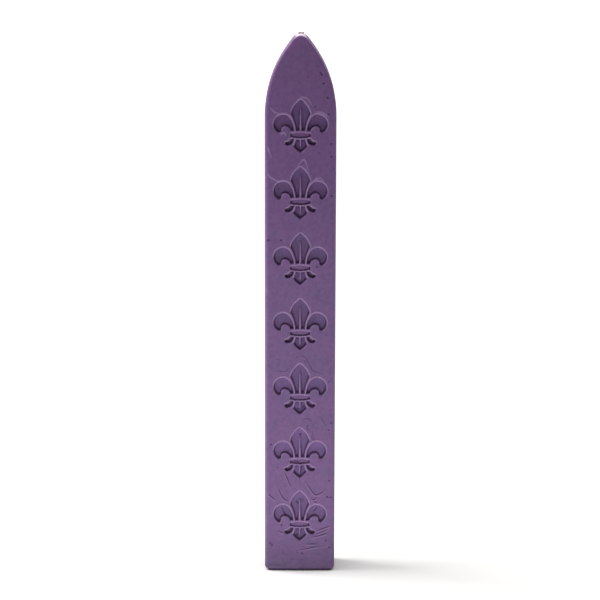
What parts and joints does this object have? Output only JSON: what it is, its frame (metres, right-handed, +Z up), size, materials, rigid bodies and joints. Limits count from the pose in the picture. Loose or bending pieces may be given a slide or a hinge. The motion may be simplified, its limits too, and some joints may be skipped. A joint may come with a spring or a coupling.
{
  "type": "sealing wax stick",
  "caption": "Flat cast stick of purple sealing wax with a pointed-arch tip, a row of sunk fleur-de-lis down its front face and a twisted cotton wick along its axis.",
  "frame": {"origin": "middle of the foot, on the surface that the stick stands on", "axes": "+Z up the stick to its tip, the front face with the fleur-de-lis looks to -Y, +X is to the right as the front is seen"},
  "size_m": [0.0116, 0.0074, 0.0899],
  "materials": {
    "wax": "satin",
    "wick": "wax-soaked cotton"
  },
  "bodies": {
    "root": {"wax_bar": "wax", "wick_ply_1": "wick", "wick_ply_2": "wick", "wick_ply_3": "wick"}
  },
  "joints": []
}
